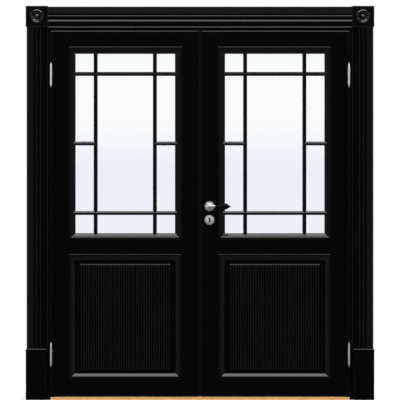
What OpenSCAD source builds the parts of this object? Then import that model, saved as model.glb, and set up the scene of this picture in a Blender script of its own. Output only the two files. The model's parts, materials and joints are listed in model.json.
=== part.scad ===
// Double interior door: two glazed leaves with reeded lower panels in a cased frame.
// Millimetres, +Z up, front towards -Y. The origin is the middle of the threshold's underside.
$fn = 64;

/* [Leaves] */
// Width of one leaf over its lip
leaf_w = 833; // [780:1:960]
// Height of a leaf over its lip
leaf_h = 2038; // [1960:1:2240]
// Thickness of a leaf
leaf_t = 40; // [38:1:48]
// Gap between the two leaves
meeting_gap = 4; // [3.5:0.5:6]
// Gap between a leaf and the threshold
floor_gap = 3; // [2:0.5:8]
// Width of the lip that laps the jamb and the head
lip_w = 13; // [11:0.5:16]
// Thickness of the lip
lip_t = 16; // [13:0.5:18]
// Gap between the back of the lip and the jamb
lip_gap = 2; // [1:0.5:4]
// Radius of the round along the front of the lip
lip_edge_r = 6; // [3:0.5:8]
// Width of the hinge stile with its lip
hinge_stile_w = 114; // [104:1:130]
// Width of the meeting stile
meeting_stile_w = 110; // [104:1:126]
// Width of the top rail with its lip
top_rail_w = 102; // [90:1:130]
// Width of the lock rail
lock_rail_w = 100; // [80:1:130]
// Width of the bottom rail
bottom_rail_w = 104; // [80:1:160]
// Height of the opening between the bottom rail and the lock rail
panel_open_h = 678; // [560:1:740]

/* [Leaf joinery] */
// Length of the rail tenons
tenon_l = 56; // [40:1:70]
// Thickness of the rail tenons
tenon_t = 12; // [8:0.5:14]
// Shoulder above and below each tenon
tenon_shoulder = 18; // [15:0.5:24]
// Clearance round a tenon in its mortise
joint_fit = 0.2; // [0.05:0.05:0.4]
// Depth of the panel groove
groove_d = 12; // [8:0.5:14]
// Room left for the panel to move in its groove
panel_float = 2; // [1:0.5:4]
// Clearance of the panel in the groove's width
groove_fit = 0.15; // [0.05:0.05:0.4]
// Diameter of the bead along the meeting edges
edge_bead_d = 12; // [8:0.5:14]
// Width of the quirk beside that bead
edge_quirk_w = 2.5; // [1.5:0.5:4]

/* [Glazing] */
// Thickness of the glass
glass_t = 6; // [4:1:10]
// Gap between the edge of the glass and its opening
glass_gap = 3; // [2:0.5:6]
// Width of the glazing moulding
glaze_w = 39; // [35:0.5:46]
// How far the glazing moulding laps over the leaf
glaze_lap = 11.5; // [9:0.5:14]
// Thickness of a moulding's lap over the leaf
mould_lap_t = 4; // [2.5:0.25:5]
// Radius of the round outer edge of a moulding
mould_edge_r = 2.5; // [1:0.25:2.5]
// Width of the steep slope along a moulding's inner edge
mould_slope_w = 15; // [12:0.5:17]
// Angle of that slope from the face of the leaf
mould_slope_angle = 38; // [30:1:40]
// Height of the upright inner edge of a moulding
nosing_h = 2.5; // [2:0.25:4]
// Gap of the mitre joints between the four lengths of a moulding
mitre_gap = 0.1; // [0.05:0.05:0.4]
// Clearance between a moulding and the opening that it lines
mould_fit = 0.2; // [0.1:0.05:0.5]
// Width of a glazing bar
bar_w = 22; // [16:1:30]
// Height of a glazing bar off the glass
bar_h = 13; // [10:0.5:16]
// Height of the upright sides of a bar
bar_side_h = 4; // [2:0.5:6]
// Width of the flat ridge on a bar
bar_ridge_w = 3; // [2:0.5:6]
// Distance from the sight line to the middle of the nearest bar
bar_inset = 112; // [70:1:150]

/* [Lower panel] */
// Thickness of the panel
panel_t = 14; // [10:0.5:18]
// Width of the panel moulding
panel_mould_w = 33; // [30:0.5:40]
// How far the panel moulding laps over the leaf
panel_mould_lap = 10; // [8:0.5:13]
// Plain margin beside the reeded field
field_side_margin = 29; // [16:1:50]
// Plain margin above and below the reeded field
field_end_margin = 22; // [14:1:50]
// Height of the raised field to the foot of its reeds
field_base_h = 4; // [2:0.5:6]
// Pitch of the reeds
reed_pitch = 14; // [10:0.5:24]
// Height of a reed
reed_h = 4; // [2:0.25:4.5]
// Width of the flat between two reeds
reed_flat = 1.6; // [0.8:0.2:3]
// Length of the slope that ends each reed
reed_end = 6; // [3:0.5:10]

/* [Frame] */
// Depth of the jambs
jamb_d = 92; // [80:1:140]
// Thickness of the jambs and of the head
jamb_t = 40; // [34:1:55]
// Gap between the leaf edge and the rebate
rebate_gap = 3; // [2:0.5:5]
// Thickness of the planted stops
stop_t = 15; // [12:0.5:20]
// Gap between the back of the leaf and the stops
stop_gap = 3; // [2:0.25:5]
// Free gap between the seal and the leaf
seal_gap = 0.4; // [0.3:0.05:0.8]
// Width of the seal
seal_w = 8; // [5:0.5:10]
// Depth of the housing for the head in each jamb
housing_d = 10; // [6:0.5:16]
// Height of the threshold
threshold_h = 17; // [16:0.5:25]
// Overhang of the threshold nosing past the rebate
nosing_over = 8; // [4:0.5:10]
// Radius of the rounded front edge of the threshold
threshold_edge_r = 5; // [2:0.5:8]
// Gap where the upright seals end under the head seal
seal_break = 0.5; // [0.3:0.1:0.9]
// Distance from the inner edge of a stop to the seal
seal_in = 1.5; // [1:0.25:3]
// Radius of the fixing holes in the jambs
fixing_r = 5; // [3:0.25:6]
// Height of the lowest fixing hole
fixing_low = 110; // [80:1:130]
// Distance from the head's rebate down to the highest fixing hole
fixing_top = 138; // [100:1:200]
// Distance between the inner pair of fixing holes
fixing_inner_pitch = 700; // [400:1:800]
// Distance from the jamb face to the fixing holes
fixing_in = 12; // [9:0.5:16]

/* [Casing] */
// Width of the casing
casing_w = 123; // [114:1:150]
// Thickness of the casing's outer band
casing_t = 22; // [18:0.5:30]
// Gap between the lip and the side casing
casing_side_gap = 7.5; // [7:0.5:12]
// Gap between the lip and the head casing
casing_head_gap = 10; // [6:0.5:14]
// Width of the outer band
band_w = 41; // [30:1:46]
// Fall of the outer band towards the outside
band_fall = 6; // [2:0.5:8]
// Thickness of the flat part of the casing
casing_flat_t = 13; // [10:0.5:16]
// Diameter of the bead beside the band
casing_bead_d = 17; // [10:0.5:18]
// How far that bead lies below the band
casing_bead_low = 1.5; // [0:0.5:3]
// Width of the quirk on each side of that bead
casing_quirk_w = 4.5; // [2:0.5:7]
// Width of the slope between the bead and the flat
casing_slope_w = 14; // [8:0.5:18]
// Fall of that slope towards the bead
casing_slope_h = 7; // [4:0.5:9]
// Diameter of the bead along the inner edge
inner_bead_d = 14; // [10:0.5:18]
// How far the inner bead stands out past the flat
inner_bead_proud = 4; // [2:0.5:6]
// Width of the quirk beside the inner bead
inner_quirk_w = 2.5; // [1.5:0.5:4]
// Width of a corner block
block_w = 124; // [115:1:140]
// Height of a corner block
block_h = 118; // [110:1:124]
// Thickness of the corner blocks and of the plinths
block_t = 28; // [24:0.5:36]
// How far the corner blocks stand out past the casing
block_proud = 5; // [2:0.5:10]
// Radius of the turned rosette, to the middle of its ring
rosette_r = 33; // [31:0.5:42]
// Radius of the ring's round section
rosette_ring_r = 5; // [3:0.25:6]
// Radius of the dish inside the ring
rosette_dish_r = 24; // [20:0.5:25.5]
// Depth of that dish
rosette_dish = 7; // [4:0.5:9]
// Radius of the button in the middle
rosette_button_r = 14.5; // [11:0.5:16]
// Height of that button
rosette_button_h = 7; // [4:0.5:9]
// Width of the flat between the button and the slope of the dish
rosette_land = 1.5; // [1:0.25:3]
// Width of a plinth block
plinth_w = 114; // [108:1:130]
// Height of a plinth block
plinth_h = 284; // [150:1:340]
// Chamfer round the face of the blocks and plinths
block_chamfer = 2; // [1:0.5:4]

/* [Hinges] */
// Radius of a knuckle
knuckle_r = 5.8; // [5.5:0.1:7]
// Length of each of the three knuckles
knuckle_l = 27; // [22:1:34]
// Length of the straight part of a cap
cap_l = 14; // [8:0.5:18]
// Length of the finial on a cap, with its shoulder
tip_l = 13; // [9:0.5:18]
// Length of that sloped shoulder
shoulder_l = 3; // [1.5:0.25:5]
// Radius of the finial
finial_r = 2.6; // [2:0.1:3.5]
// Width of the turned line between a knuckle and its cap
cap_line_w = 0.9; // [0.5:0.1:1.5]
// Depth of that line
cap_line_d = 0.6; // [0.3:0.1:1]
// Radius of the small flat that ends the finial
tip_flat_r = 0.8; // [0.5:0.1:1.2]
// Gap between two knuckles
knuckle_gap = 0.6; // [0.3:0.1:0.9]
// Radius of the hinge pin
pin_r = 4; // [3:0.25:4.5]
// Running clearance of the pin in the leaf's knuckle
pin_run = 0.05; // [0.03:0.01:0.08]
// Length of pin in each outer knuckle
pin_in = 22; // [14:1:26]
// Gap between a knuckle and the face of the leaf
knuckle_off = 2.7; // [1.5:0.1:3.5]
// Distance from the lip edge in to the hinge axis
hinge_inset = 5; // [3:0.5:6]
// Thickness of the hinge flag
flag_t = 2.5; // [2:0.25:3.5]
// Gap between the flag and the lip edge
flag_gap = 1.5; // [1:0.25:2.5]
// Depth of the flag in the jamb
flag_in = 20; // [14:0.5:22]
// Clearance of the flag in its slot
flag_fit = 0.1; // [0.05:0.05:0.3]
// Radius of the pegs in the leaf
peg_r = 3; // [2.5:0.25:4]
// Angle of the pegs from the face of the leaf
peg_angle = 66; // [60:1:75]
// Wood left behind the end of a peg
peg_cover = 3.5; // [3:0.5:6]
// Clearance of the pegs in the stile
peg_fit = 0.1; // [0.05:0.05:0.3]
// Height of the middle of the lower hinge over the foot of the leaf
hinge_low = 233; // [190:1:320]
// Distance of the middle of the upper hinge from the top of the leaf
hinge_high = 247; // [190:1:340]

/* [Lock and lever] */
// Distance from the edge of the leaf to the lever's axis
backset = 51; // [49:0.5:56]
// Height of the lever's axis over the foot of the leaf
lever_h = 1058; // [990:1:1080]
// Distance from the lever's axis down to the keyhole
key_drop = 75; // [70:1:90]
// Depth of the lock case from the edge of the leaf
case_d = 80; // [76:1:86]
// Thickness of the lock case
case_t = 15; // [13:0.5:17]
// Height of the lock case beyond the lever's axis and the keyhole
case_over = 42; // [34:1:50]
// Width of the forend
forend_w = 20; // [18:0.5:22]
// Thickness of the forend and of the strike plate
forend_t = 3; // [2:0.25:4]
// Length of the forend beyond the lock case
forend_over = 32; // [20:1:40]
// Clearance of the lock case in the stile
case_fit = 0.3; // [0.1:0.05:0.6]
// Length of the latch bolt
latch_l = 32; // [26:1:34]
// Height of the latch bolt
latch_h = 18; // [14:0.5:24]
// Length of the dead bolt
dead_l = 36; // [30:1:38]
// Height of the dead bolt
dead_h = 25; // [18:0.5:30]
// Thickness of both bolts
bolt_t = 10; // [7:0.5:11]
// Clearance of a bolt in its channel
bolt_fit = 0.3; // [0.2:0.05:0.5]
// Depth of the pockets behind the strike plate
strike_d = 20; // [18:1:30]
// Room round a bolt in the strike plate and round a rod in its keep
strike_room = 1; // [0.6:0.1:2]
// Radius of the follower
follower_r = 10; // [9:0.5:11]
// Room round the spindle in the stile, past the follower
spindle_room = 2; // [1:0.5:4]
// Running clearance of the follower and of the lever necks
turn_run = 0.05; // [0.03:0.01:0.08]
// Width of the square spindle
spindle_w = 8; // [7:0.5:9]
// Clearance of the spindle in its sockets
spindle_fit = 0.05; // [0.03:0.01:0.1]
// Depth of the spindle in each lever neck
spindle_in = 22; // [14:1:26]
// Radius of a rose and of a key escutcheon
rose_r = 28; // [24:0.5:32]
// Thickness of a rose
rose_t = 8; // [6:0.5:10]
// Thickness of a key escutcheon
escutcheon_t = 7; // [5:0.5:8]
// Thickness of the rim of a rose or an escutcheon
rim_t = 3; // [2:0.25:4]
// Radius of the round top of the keyhole
keyhole_r = 5.2; // [4:0.2:6]
// Radius of the round foot of the keyhole
keyhole_foot_r = 4.2; // [3:0.2:5]
// Distance between the two rounds of the keyhole
keyhole_l = 19; // [14:0.5:22]
// Width of the waist of the keyhole
keyhole_waist = 5.6; // [4:0.2:6]
// Radius of a lever neck
neck_r = 10; // [8:0.25:11]
// Distance from the leaf face to the axis of the grip
grip_off = 46; // [42:1:56]
// How much the ball at the neck's elbow swells past the neck
elbow_swell = 0.6; // [0.4:0.1:1.5]
// Distance from the lever's axis to the start of the grip
grip_start = 30; // [24:1:36]
// Radius of the lever neck's arm
arm_r = 8; // [6:0.25:8.5]
// How far the ferrule stands out past the grip
ferrule_proud = 1.2; // [0.5:0.1:2]
// Length of the ferrule at the grip
ferrule_l = 6; // [4:0.5:8]
// Length of the tang in the grip
tang_l = 22; // [14:1:30]
// Radius of the tang
tang_r = 3.5; // [2.5:0.25:4]
// Length of the grip to the tip
grip_l = 89; // [84:1:100]
// Radius of the grip at the ferrule
grip_r = 7.5; // [6.5:0.25:8.5]
// Radius of the round swelling of the grip
grip_bulb_r = 17; // [14:0.5:18]
// Distance from the middle of the swelling to the tip
grip_bulb_back = 29; // [26:0.5:34]
// Radius of the small ball at the tip
grip_tip_r = 2.8; // [2:0.1:4]

/* [Flush bolts] */
// Radius of a flush bolt rod
rod_r = 5; // [4:0.25:6]
// Length of a flush bolt rod
rod_l = 190; // [160:1:240]
// Distance from the edge of the leaf to the rod
rod_in = 14; // [12:0.5:18]
// Clearance of the rod in the stile
rod_fit = 0.3; // [0.25:0.05:0.5]
// How far a rod's end sits inside the edge of the leaf
rod_sunk = 0.6; // [0.3:0.1:2]
// Travel of the upper rod
upper_travel = 15; // [10:0.5:18]
// Travel of the lower rod
lower_travel = 12; // [10:0.5:13]
// Length of a flush bolt plate
plate_l = 150; // [120:1:180]
// Width of a flush bolt plate
plate_w = 14; // [12:0.5:15]
// Thickness of a flush bolt plate and of a keep
plate_t = 2.5; // [2:0.25:3]
// Distance from the inner end of the rod to its thumb stud
stud_up = 40; // [30:1:60]
// Radius of the thumb stud
stud_r = 3; // [2.5:0.25:4]
// Gap between the face of the plate and the end of the thumb stud
stud_sunk = 0.5; // [0.3:0.1:1]
// Room left under and over a rod at the end of its travel
keep_room = 2; // [1:0.5:3]
// Distance from the back of the leaf to the rods
rod_back = 13; // [12.5:0.25:14]
// Length of a keep
keep_l = 44; // [36:1:60]
// Width of a keep
keep_w = 16; // [13:0.5:18]

/* [Hidden] */
leaf_proud = lip_t + lip_gap;
threshold_d = jamb_d + leaf_proud;
y_leaf = -threshold_d / 2;
y_leaf_back = y_leaf + leaf_t;
y_mid = y_leaf + leaf_t / 2;
y_jamb = y_leaf + leaf_proud;
y_stop = y_leaf_back + stop_gap;
y_back = threshold_d / 2;

// Right leaf, from its meeting edge to its lip
leaf_x0 = meeting_gap / 2;
leaf_x1 = leaf_x0 + leaf_w;
leaf_z0 = threshold_h + floor_gap;
leaf_z1 = leaf_z0 + leaf_h;
body_x1 = leaf_x1 - lip_w;
body_z1 = leaf_z1 - lip_w;
open_x = [leaf_x0 + meeting_stile_w, leaf_x1 - hinge_stile_w];
panel_z = [leaf_z0 + bottom_rail_w, leaf_z0 + bottom_rail_w + panel_open_h];
glass_z = [panel_z[1] + lock_rail_w, leaf_z1 - top_rail_w];
rail_spans = [[leaf_z0, panel_z[0]], [panel_z[1], glass_z[0]], [glass_z[1], body_z1]];

// Frame and casing
rebate_x = body_x1 + rebate_gap;
rebate_z = body_z1 + rebate_gap;
jamb_x1 = rebate_x + jamb_t;
head_z1 = rebate_z + jamb_t;
stop_x = rebate_x - stop_t;
stop_z = rebate_z - stop_t;
fixing_ends = [fixing_low, rebate_z - fixing_top];
fixing_mid = (fixing_ends[0] + fixing_ends[1]) / 2;
fixing_inner = [fixing_mid - fixing_inner_pitch / 2, fixing_mid + fixing_inner_pitch / 2];
fixing_zs = concat(fixing_ends, fixing_inner);
seal_t = stop_gap - seal_gap;
seal_r = (seal_w * seal_w / 4 + seal_t * seal_t) / (2 * seal_t);
casing_x = [leaf_x1 + casing_side_gap, leaf_x1 + casing_side_gap + casing_w];
casing_z = [leaf_z1 + casing_head_gap, leaf_z1 + casing_head_gap + casing_w];
block_x = [casing_x[1] + block_proud - block_w, casing_x[1] + block_proud];
block_z = [casing_z[1] + block_proud - block_h, casing_z[1] + block_proud];
button_ball_r = (pow(rosette_button_r, 2) + pow(rosette_button_h, 2)) / (2 * rosette_button_h);

// Glass, bars and panel
glaze_in = glaze_w - glaze_lap;
sight_x = [open_x[0] + glaze_in, open_x[1] - glaze_in];
sight_z = [glass_z[0] + glaze_in, glass_z[1] - glaze_in];
glaze_rise = (leaf_t - glass_t) / 2;
y_glass = y_mid - glass_t / 2;
bar_reach = glaze_in - mould_lap_t;
tongue = groove_d - panel_float;
panel_rise = (leaf_t - panel_t) / 2;
y_panel = y_mid - panel_t / 2;
field_edge = panel_mould_w - panel_mould_lap;
reed_count = floor((open_x[1] - open_x[0] - 2 * (field_edge + field_side_margin)) / reed_pitch);
field_w = reed_count * reed_pitch;
field_x0 = (open_x[0] + open_x[1] - field_w) / 2;
field_z = [panel_z[0] + field_edge + field_end_margin, panel_z[1] - field_edge - field_end_margin];
reed_half = (reed_pitch - reed_flat) / 2;
reed_r = (reed_half * reed_half + reed_h * reed_h) / (2 * reed_h);

// Hinges
hinge_x = leaf_x1 - hinge_inset;
hinge_y = y_leaf - knuckle_off - knuckle_r;
hinge_zs = [leaf_z0 + hinge_low, leaf_z1 - hinge_high];
flag_x = [leaf_x1 + flag_gap, leaf_x1 + flag_gap + flag_t];
knuckle_pitch = knuckle_l + knuckle_gap;
pin_half_l = knuckle_l / 2 + knuckle_gap + pin_in;
peg_l = (knuckle_off + knuckle_r + lip_t - peg_cover) / sin(peg_angle);
peg_places = [-knuckle_l / 4, knuckle_l / 4];

// Lock, lever and flush bolts
lever_x = leaf_x0 + backset;
lever_z = leaf_z0 + lever_h;
key_z = lever_z - key_drop;
case_x = [leaf_x0 + forend_t, leaf_x0 + case_d];
case_z = [key_z - case_over, lever_z + case_over];
forend_z = [case_z[0] - forend_over, case_z[1] + forend_over];
bulb_t = grip_l - grip_bulb_back;
rod_x = leaf_x0 + rod_in;
rod_y = y_leaf_back - rod_back;
upper_rod_z = [body_z1 - rod_sunk - rod_l, body_z1 - rod_sunk];
lower_rod_z = [leaf_z0 + rod_sunk, leaf_z0 + rod_sunk + rod_l];
upper_stud_z = upper_rod_z[0] + stud_up;
lower_stud_z = lower_rod_z[1] - stud_up;
eps = 1;
// Fineness of the shallow arcs of large radius
shallow_fn = 400;

// Colours of the finishes
paint = [0.08, 0.08, 0.085];
oak = [0.82, 0.60, 0.34];
nickel = [0.72, 0.72, 0.73];
glass_tint = [0.85, 0.91, 0.94, 0.4];
rubber_grey = [0.2, 0.2, 0.2];

// Shared helpers

// A box given by its span along each axis
module box(x, y, z) {
    translate([x[0], y[0], z[0]])
        cube([x[1] - x[0], y[1] - y[0], z[1] - z[0]]);
}

// Everything is drawn for the right side, and the left side is its mirror image
module on_left() {
    mirror([1, 0, 0]) children();
}

// The back of a leaf is the mirror image of its front
module at_back() {
    translate([0, 2 * y_mid, 0]) mirror([0, 1, 0]) children();
}

// Extrudes a profile along +X, with the profile's x up and its y towards the front
module run_x(length) {
    rotate([90, 0, 0]) rotate([90, 0, 90]) linear_extrude(length) children();
}

// Extrudes a profile along +Z, with the profile's x towards -X and its y towards the front
module run_z(length) {
    rotate([0, 0, 180]) linear_extrude(length) children();
}

// A round bar along +Y
module round_y(r, y) {
    translate([0, y[1], 0]) rotate([90, 0, 0]) cylinder(r = r, h = y[1] - y[0]);
}

// Four lengths of moulding mitred into a ring of outer size w by h, each face_w wide
module mitred_ring(w, h, face_w, depth) {
    g = mitre_gap;
    for (k = [0:3]) {
        l = k % 2 == 0 ? w : h;
        d = k % 2 == 0 ? h : w;
        rotate([0, 90 * k, 0])
            intersection() {
                translate([-l / 2, 0, -d / 2]) run_x(l) children();
                translate([0, eps, 0])
                    rotate([90, 0, 0])
                        linear_extrude(depth + 2 * eps)
                            polygon([[g - l / 2, -d / 2], [l / 2 - g, -d / 2],
                                     [l / 2 - face_w - g, face_w - d / 2],
                                     [face_w + g - l / 2, face_w - d / 2]]);
            }
    }
}

// Section of a moulding that laps over the leaf's face: a round edge, a long swell and a steep slope
module bolection(w, lap, rise) {
    e = mould_edge_r;
    top = rise + mould_lap_t;
    slope_x = w - mould_slope_w;
    slope_top = nosing_h + mould_slope_w * tan(mould_slope_angle);
    swell_w = slope_x - e;
    swell_h = top - slope_top;
    swell_r = (swell_w * swell_w + swell_h * swell_h) / (2 * swell_h);
    intersection() {
        union() {
            square([e, top - e]);
            translate([e, top - e]) circle(e);
            intersection() {
                translate([e, top - swell_r]) circle(swell_r, $fn = shallow_fn);
                translate([e, 0]) square([swell_w, top]);
            }
            polygon([[slope_x - eps, 0], [w, 0], [w, nosing_h],
                     [slope_x, slope_top], [slope_x - eps, slope_top]]);
        }
        union() {
            translate([-eps, rise]) square([w + 2 * eps, mould_lap_t + eps]);
            translate([lap + mould_fit, -eps]) square([w - lap, top + 2 * eps]);
        }
    }
}

// A block with its back on y = 0 and a chamfer round its face, also at its foot if foot is given
module chamfered_block(w, t, h, foot) {
    c = block_chamfer;
    intersection() {
        linear_extrude(h)
            polygon([[-w / 2, 0], [-w / 2, c - t], [c - w / 2, -t],
                     [w / 2 - c, -t], [w / 2, c - t], [w / 2, 0]]);
        translate([-w / 2, 0, 0])
            rotate([90, 0, 90])
                linear_extrude(w)
                    polygon(concat([[0, 0]], foot > 0 ? [[foot - t, 0], [-t, foot]] : [[-t, 0]],
                                   [[-t, h - c], [c - t, h], [0, h]]));
    }
}

// Frame

module side_jamb() {
    color(paint)
        difference() {
            box([rebate_x, jamb_x1], [y_jamb, y_back], [0, head_z1]);
            box([rebate_x - eps, rebate_x + housing_d], [y_jamb - eps, y_back + eps],
                [rebate_z, head_z1 + eps]);
            for (z = hinge_zs)
                for (side = [-1, 1])
                    translate([0, 0, z + side * knuckle_pitch])
                        box([flag_x[0] - flag_fit, flag_x[1] + flag_fit],
                            [y_jamb - eps, y_jamb + flag_in + flag_fit],
                            [-knuckle_l / 2 - flag_fit, knuckle_l / 2 + flag_fit]);
            for (z = fixing_zs)
                translate([rebate_x - eps, y_jamb + fixing_in, z])
                    rotate([0, 90, 0])
                        cylinder(r = fixing_r, h = jamb_t + 2 * eps);
        }
}

module head_jamb() {
    color(paint)
        difference() {
            box([-rebate_x - housing_d, rebate_x + housing_d], [y_jamb, y_back], [rebate_z, head_z1]);
            box([-rod_x - keep_l / 2, -rod_x + keep_l / 2], [rod_y - keep_w / 2, rod_y + keep_w / 2],
                [rebate_z - eps, rebate_z + plate_t]);
            translate([-rod_x, rod_y, rebate_z])
                cylinder(r = rod_r + strike_room, h = upper_travel + keep_room);
        }
}

module side_stop() {
    color(paint) box([stop_x, rebate_x], [y_stop, y_back], [threshold_h, stop_z]);
}

module head_stop() {
    color(paint) box([-rebate_x, rebate_x], [y_stop, y_back], [stop_z, rebate_z]);
}

module threshold() {
    r = threshold_edge_r;
    color(oak)
        difference() {
            union() {
                box([-rebate_x, rebate_x], [y_leaf + r, y_back], [0, threshold_h]);
                translate([-rebate_x - nosing_over, y_jamb, 0])
                    run_x(2 * (rebate_x + nosing_over)) {
                        square([threshold_h, leaf_proud - r]);
                        square([threshold_h - r, leaf_proud]);
                        translate([threshold_h - r, leaf_proud - r]) circle(r);
                    }
            }
            box([-rod_x - keep_l / 2, -rod_x + keep_l / 2], [rod_y - keep_w / 2, rod_y + keep_w / 2],
                [threshold_h - plate_t, threshold_h + eps]);
            translate([-rod_x, rod_y, lower_rod_z[0] - lower_travel - keep_room])
                cylinder(r = rod_r + strike_room, h = threshold_h);
        }
}

module rebate_seal() {
    x = stop_x + seal_in + seal_w / 2;
    z = stop_z + seal_in + seal_w / 2;
    module strip() {
        intersection() {
            translate([0, seal_t - seal_r]) circle(seal_r);
            translate([-seal_w / 2, 0]) square([seal_w, seal_t]);
        }
    }
    color(rubber_grey) {
        for (side = [-1, 1])
            translate([side * x, y_stop, threshold_h])
                run_z(z - seal_w / 2 - seal_break - threshold_h) strip();
        translate([-x - seal_w / 2, y_stop, z]) run_x(2 * x + seal_w) strip();
    }
}

// Casing

// Section of the casing from its outer edge: sloped band, bead, slope, flat and inner bead
module casing_profile() {
    bead_x = band_w + casing_quirk_w + casing_bead_d / 2;
    slope_x = bead_x + casing_bead_d / 2 + casing_quirk_w;
    flat_x = casing_w - inner_bead_d - inner_quirk_w;
    quirk_t = casing_flat_t - casing_slope_h;
    inner_top = casing_flat_t + inner_bead_proud;
    polygon([[0, 0], [band_w, 0], [band_w, casing_t], [0, casing_t - band_fall]]);
    polygon([[0, 0], [flat_x, 0], [flat_x, casing_flat_t], [slope_x + casing_slope_w, casing_flat_t],
             [slope_x, quirk_t], [bead_x, quirk_t], [bead_x, casing_flat_t], [0, casing_flat_t]]);
    translate([bead_x, casing_t - casing_bead_low - casing_bead_d / 2]) circle(casing_bead_d / 2);
    translate([flat_x - eps, 0]) square([casing_w - flat_x + eps, inner_top - inner_bead_d / 2]);
    translate([casing_w - inner_bead_d / 2, inner_top - inner_bead_d / 2]) circle(inner_bead_d / 2);
}

module side_casing() {
    color(paint)
        translate([casing_x[1], y_jamb, plinth_h])
            run_z(block_z[0] - plinth_h) casing_profile();
}

module head_casing() {
    color(paint)
        difference() {
            translate([block_x[0], y_jamb, casing_z[1]])
                rotate([0, 180, 0]) run_x(2 * block_x[0]) casing_profile();
            for (side = [-1, 1])
                translate([side * block_x[0], 0, 0])
                    box([casing_x[0] - block_x[0], block_x[0] - casing_x[0]],
                        [y_jamb - 2 * casing_t, y_jamb + eps], [casing_z[0] - eps, block_z[0]]);
        }
}

// Half section of the cut that makes the rosette's dish, with the block's face on y = 0
module dish_section() {
    floor_r = rosette_button_r + rosette_land;
    polygon([[0, -rosette_dish], [floor_r, -rosette_dish], [rosette_dish_r, 0],
             [rosette_dish_r, eps], [0, eps]]);
}

module corner_block() {
    color(paint)
        translate([(block_x[0] + block_x[1]) / 2, y_jamb, block_z[0]])
            difference() {
                union() {
                    difference() {
                        chamfered_block(block_w, block_t, block_h, block_chamfer);
                        translate([0, -block_t, block_h / 2])
                            rotate([90, 0, 0]) rotate_extrude() dish_section();
                    }
                    translate([0, -block_t, block_h / 2])
                        rotate([90, 0, 0]) {
                            rotate_extrude() translate([rosette_r, 0]) circle(rosette_ring_r);
                            translate([0, 0, rosette_button_h - rosette_dish - button_ball_r])
                                sphere(button_ball_r);
                        }
                }
                // The button's ball ends inside the block
                translate([0, block_t, 0]) box([-block_w, block_w], [-block_t, 0], [0, block_h]);
            }
}

module plinth() {
    color(paint)
        translate([block_x[1] - plinth_w / 2, y_jamb, 0])
            chamfered_block(plinth_w, block_t, plinth_h, 0);
}

// Hinges

// Outside of an outer knuckle with its cap and finial, as a half section
module outer_knuckle_section() {
    cap_end = knuckle_l + cap_l;
    tip_end = cap_end + tip_l;
    round_r = finial_r - tip_flat_r;
    difference() {
        square([knuckle_r, cap_end]);
        translate([knuckle_r - cap_line_d, knuckle_l - cap_line_w / 2])
            square([cap_line_d + eps, cap_line_w]);
    }
    polygon([[0, cap_end - eps], [knuckle_r, cap_end - eps], [knuckle_r, cap_end],
             [finial_r, cap_end + shoulder_l], [0, cap_end + shoulder_l]]);
    square([finial_r, tip_end - round_r]);
    square([tip_flat_r, tip_end]);
    intersection() {
        translate([tip_flat_r, tip_end - round_r]) circle(round_r);
        translate([tip_flat_r / 2, cap_end]) square([finial_r, tip_l]);
    }
}

// The outer knuckle over the middle one, with the flag that holds it in the jamb
module outer_knuckle() {
    color(nickel)
        translate([0, 0, knuckle_l / 2 + knuckle_gap])
            difference() {
                union() {
                    rotate_extrude() outer_knuckle_section();
                    box([0, flag_x[1] - hinge_x], [-knuckle_r / 2, knuckle_r / 2], [0, knuckle_l]);
                    box([flag_x[0] - hinge_x, flag_x[1] - hinge_x],
                        [-knuckle_r / 2, y_jamb + flag_in - hinge_y], [0, knuckle_l]);
                }
                translate([0, 0, -eps]) cylinder(r = pin_r, h = pin_in + eps);
            }
}

module hinge_frame_half() {
    outer_knuckle();
    mirror([0, 0, 1]) outer_knuckle();
}

// The pegs that hold the middle knuckle in the leaf
module hinge_pegs(fit) {
    for (z = peg_places)
        translate([0, 0, z])
            rotate([0, 0, 180 - peg_angle]) rotate([0, 90, 0]) cylinder(r = peg_r + fit, h = peg_l + fit);
}

module hinge_leaf_half() {
    color(nickel)
        difference() {
            union() {
                cylinder(r = knuckle_r, h = knuckle_l, center = true);
                hinge_pegs(0);
            }
            cylinder(r = pin_r + pin_run, h = knuckle_l + 2 * eps, center = true);
        }
}

module at_hinges() {
    for (z = hinge_zs)
        translate([hinge_x, hinge_y, z]) children();
}

module hinge_pin() {
    color(nickel) translate([0, 0, -pin_half_l]) cylinder(r = pin_r, h = 2 * pin_half_l);
}

// Leaves

// A bar through a rail that gives the tenon at each of its ends
module tenon_bar(span, fit) {
    box([open_x[0] - tenon_l - fit, open_x[1] + tenon_l + fit],
        [y_mid - tenon_t / 2 - fit, y_mid + tenon_t / 2 + fit],
        [span[0] + tenon_shoulder - fit, span[1] - tenon_shoulder + fit]);
}

// The groove that the panel's edges float in
module panel_groove() {
    box([open_x[0] - groove_d, open_x[1] + groove_d],
        [y_panel - groove_fit, y_panel + panel_t + groove_fit],
        [panel_z[0] - groove_d, panel_z[1] + groove_d]);
}

module mortises() {
    for (span = rail_spans)
        tenon_bar(span, joint_fit);
    panel_groove();
}

// What the round along the lip takes off, with the arris on the origin and the leaf on its left and below
module lip_round_section() {
    difference() {
        translate([-lip_edge_r, -lip_edge_r]) square(lip_edge_r + eps);
        translate([-lip_edge_r, -lip_edge_r]) circle(lip_edge_r);
    }
}

module top_lip_round() {
    translate([leaf_x0 - eps, y_leaf, leaf_z1]) run_x(leaf_w + 2 * eps) lip_round_section();
}

module hinge_stile() {
    color(paint)
        difference() {
            union() {
                box([open_x[1], body_x1], [y_leaf, y_leaf_back], [leaf_z0, body_z1]);
                box([open_x[1], leaf_x1], [y_leaf, y_leaf + lip_t], [leaf_z0, leaf_z1]);
            }
            mortises();
            at_hinges() hinge_pegs(peg_fit);
            translate([leaf_x1, y_leaf, leaf_z0 - eps])
                linear_extrude(leaf_h + 2 * eps) mirror([0, 1]) lip_round_section();
            top_lip_round();
        }
}

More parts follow.
